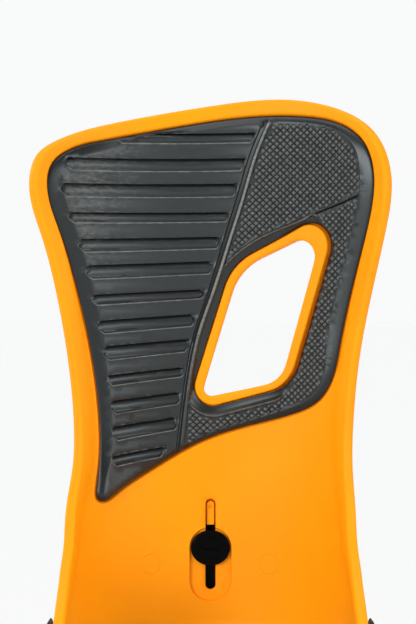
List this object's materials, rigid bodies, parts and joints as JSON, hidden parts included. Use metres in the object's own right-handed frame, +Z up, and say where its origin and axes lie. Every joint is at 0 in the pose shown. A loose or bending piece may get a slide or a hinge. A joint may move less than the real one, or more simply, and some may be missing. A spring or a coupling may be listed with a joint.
{
  "type": "snowboard binding highback",
  "caption": "Curved moulded highback with a ribbed calf pad and a window, hinged on a heel hoop, with a flip-lever forward-lean adjuster.",
  "frame": {"origin": "centre of the footprint, on the plane that the heel cup's base edges stand on", "axes": "+Z up, -Y towards the toes (the boot comes in from -Y), +X to the right seen from the boot's side"},
  "size_m": [0.1483, 0.1532, 0.2934],
  "materials": {
    "orange_shell": "satin glass-filled nylon",
    "orange_lever": "satin",
    "pad_foam": "satin moulded foam",
    "black_nylon": "matte, fine grain",
    "black_rubber": "matte",
    "washer_nylon": "natural nylon",
    "dark_steel": "black oxide",
    "bright_steel": "zinc plated"
  },
  "bodies": {
    "heel_cup": {"heel_cup": "black_nylon", "stop_bumper": "black_rubber", "pivot_nut_left": "dark_steel", "pivot_nut_right": "dark_steel", "pivot_bolt_left": "dark_steel", "pivot_bolt_right": "dark_steel", "pivot_washer_left": "washer_nylon", "pivot_washer_right": "washer_nylon", "pivot_bushing_left": "washer_nylon", "pivot_bushing_right": "washer_nylon", "strap_nut_left": "bright_steel", "strap_nut_right": "bright_steel"},
    "highback": {"highback_shell": "orange_shell", "calf_pad": "pad_foam", "pad_studs": "black_nylon", "lean_rack_left": "black_nylon", "lean_rack_right": "black_nylon"},
    "lean_block": {"lean_block": "black_nylon", "lean_bolt": "dark_steel", "lean_cap": "black_nylon", "lean_spring": "bright_steel", "lean_wear_plate": "bright_steel", "lever_pin": "bright_steel"},
    "lean_lever": {"lean_lever": "orange_lever"}
  },
  "joints": [
    {"name": "highback_fold", "type": "hinge", "parent": "heel_cup", "child": "highback", "pos_m": [0, 0, 0.064], "axis": [1, 0, 0], "range_deg": [0, 75]},
    {"name": "lean_adjust", "type": "slide", "parent": "highback", "child": "lean_block", "axis": [0, 0.1004, -0.9949], "range_m": [0, 0.0138]},
    {"name": "lever_flip", "type": "hinge", "parent": "lean_block", "child": "lean_lever", "pos_m": [0, 0.06929, 0.10416], "axis": [-1, 0, 0], "range_deg": [0, 105]}
  ]
}
